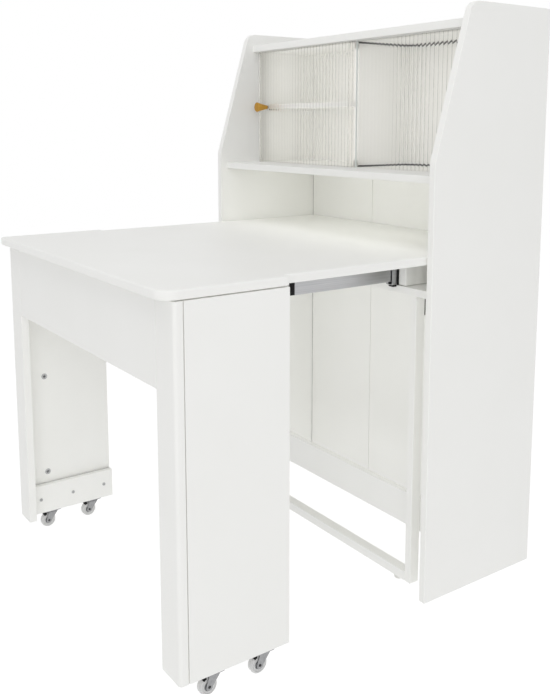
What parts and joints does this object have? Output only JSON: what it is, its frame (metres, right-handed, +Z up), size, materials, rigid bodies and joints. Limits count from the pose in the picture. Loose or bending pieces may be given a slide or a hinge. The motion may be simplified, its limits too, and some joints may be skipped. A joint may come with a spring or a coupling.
{
  "type": "kitchen table with storage cabinet",
  "caption": "White kitchen table on casters that pulls out of a floor-standing cabinet with an open bay and a hutch behind sliding fluted glass doors.",
  "frame": {"origin": "on the floor, in the middle of the closed table and cabinet", "axes": "+Z up, -Y towards the front edge of the table, +X to the right seen from the table"},
  "size_m": [0.834, 0.95, 1.264],
  "materials": {
    "white_board": "white melamine-faced board, satin",
    "fluted_glass": "clear fluted glass",
    "brass": "satin brass",
    "bright_steel": "bright zinc-plated steel",
    "dull_zinc": "dull grey zinc",
    "dark_steel": "black lacquered steel",
    "white_plastic": "white plastic",
    "tyre": "pale translucent nylon"
  },
  "bodies": {
    "cabinet": {"back_board_centre": "white_board", "back_board_left": "white_board", "back_board_right": "white_board", "cleat_left": "white_board", "cleat_right": "white_board", "divider": "white_board", "frame_bar": "white_board", "frame_brackets": "dark_steel", "frame_glides": "white_plastic", "frame_post_left": "white_board", "frame_post_right": "white_board", "hutch_shelf": "white_board", "inner_board": "white_board", "lower_rail": "white_board", "shelf_pins": "dark_steel", "side_panel_left": "white_board", "side_panel_right": "white_board", "slide_channel_left": "bright_steel", "slide_channel_right": "bright_steel", "small_shelf": "white_board", "top_board": "white_board"},
    "table": {"apron": "white_board", "batten_left": "white_board", "batten_right": "white_board", "caster_plate_front_left": "dull_zinc", "caster_plate_front_right": "dull_zinc", "caster_plate_rear_left": "dull_zinc", "caster_plate_rear_right": "dull_zinc", "caster_rail_left": "white_board", "caster_rail_right": "white_board", "caster_rail_screws": "dull_zinc", "leg_cam_locks": "dull_zinc", "leg_panel_left": "white_board", "leg_panel_right": "white_board", "leg_stile_left": "white_board", "leg_stile_right": "white_board", "slide_inner_left": "bright_steel", "slide_inner_right": "bright_steel", "tabletop": "white_board"},
    "door_left": {"door_glass_left": "fluted_glass", "door_knob_left": "brass", "door_knob_screw_left": "bright_steel"},
    "slide_left": {"slide_middle_left": "bright_steel"},
    "door_right": {"door_glass_right": "fluted_glass", "door_knob_right": "brass", "door_knob_screw_right": "bright_steel"},
    "slide_right": {"slide_middle_right": "bright_steel"},
    "caster_front_left": {"caster_fork_front_left": "dull_zinc", "caster_axle_front_left": "bright_steel"},
    "wheel_front_left": {"caster_wheel_front_left": "tyre"},
    "caster_rear_left": {"caster_fork_rear_left": "dull_zinc", "caster_axle_rear_left": "bright_steel"},
    "wheel_rear_left": {"caster_wheel_rear_left": "tyre"},
    "caster_front_right": {"caster_fork_front_right": "dull_zinc", "caster_axle_front_right": "bright_steel"},
    "wheel_front_right": {"caster_wheel_front_right": "tyre"},
    "caster_rear_right": {"caster_fork_rear_right": "dull_zinc", "caster_axle_rear_right": "bright_steel"},
    "wheel_rear_right": {"caster_wheel_rear_right": "tyre"}
  },
  "joints": [
    {"name": "table_pull", "type": "slide", "parent": "cabinet", "child": "table", "axis": [0, -1, 0], "range_m": [0, 0.3]},
    {"name": "door_left_slide", "type": "slide", "parent": "cabinet", "child": "door_left", "axis": [1, 0, 0], "range_m": [0, 0.32]},
    {"name": "door_right_slide", "type": "slide", "parent": "cabinet", "child": "door_right", "axis": [1, 0, 0], "range_m": [-0.32, 0]},
    {"name": "slide_left_run", "type": "slide", "parent": "cabinet", "child": "slide_left", "axis": [0, -1, 0], "range_m": [0, 0.15]},
    {"name": "slide_right_run", "type": "slide", "parent": "cabinet", "child": "slide_right", "axis": [0, -1, 0], "range_m": [0, 0.15]},
    {"name": "caster_front_left_swivel", "type": "hinge", "parent": "table", "child": "caster_front_left", "pos_m": [-0.401, -0.378, 0.04], "axis": [0, 0, 1], "continuous": true},
    {"name": "wheel_front_left_roll", "type": "hinge", "parent": "caster_front_left", "child": "wheel_front_left", "pos_m": [-0.401, -0.39, 0.018], "axis": [1, 0, 0], "continuous": true},
    {"name": "caster_rear_left_swivel", "type": "hinge", "parent": "table", "child": "caster_rear_left", "pos_m": [-0.401, -0.269, 0.04], "axis": [0, 0, 1], "continuous": true},
    {"name": "wheel_rear_left_roll", "type": "hinge", "parent": "caster_rear_left", "child": "wheel_rear_left", "pos_m": [-0.401, -0.281, 0.018], "axis": [1, 0, 0], "continuous": true},
    {"name": "caster_front_right_swivel", "type": "hinge", "parent": "table", "child": "caster_front_right", "pos_m": [0.401, -0.378, 0.04], "axis": [0, 0, 1], "continuous": true},
    {"name": "wheel_front_right_roll", "type": "hinge", "parent": "caster_front_right", "child": "wheel_front_right", "pos_m": [0.401, -0.39, 0.018], "axis": [1, 0, 0], "continuous": true},
    {"name": "caster_rear_right_swivel", "type": "hinge", "parent": "table", "child": "caster_rear_right", "pos_m": [0.401, -0.269, 0.04], "axis": [0, 0, 1], "continuous": true},
    {"name": "wheel_rear_right_roll", "type": "hinge", "parent": "caster_rear_right", "child": "wheel_rear_right", "pos_m": [0.401, -0.281, 0.018], "axis": [1, 0, 0], "continuous": true}
  ],
  "couplings": [
    {"joint": "slide_left_run", "follows": "table_pull", "ratio": 0.5},
    {"joint": "slide_right_run", "follows": "table_pull", "ratio": 0.5}
  ]
}
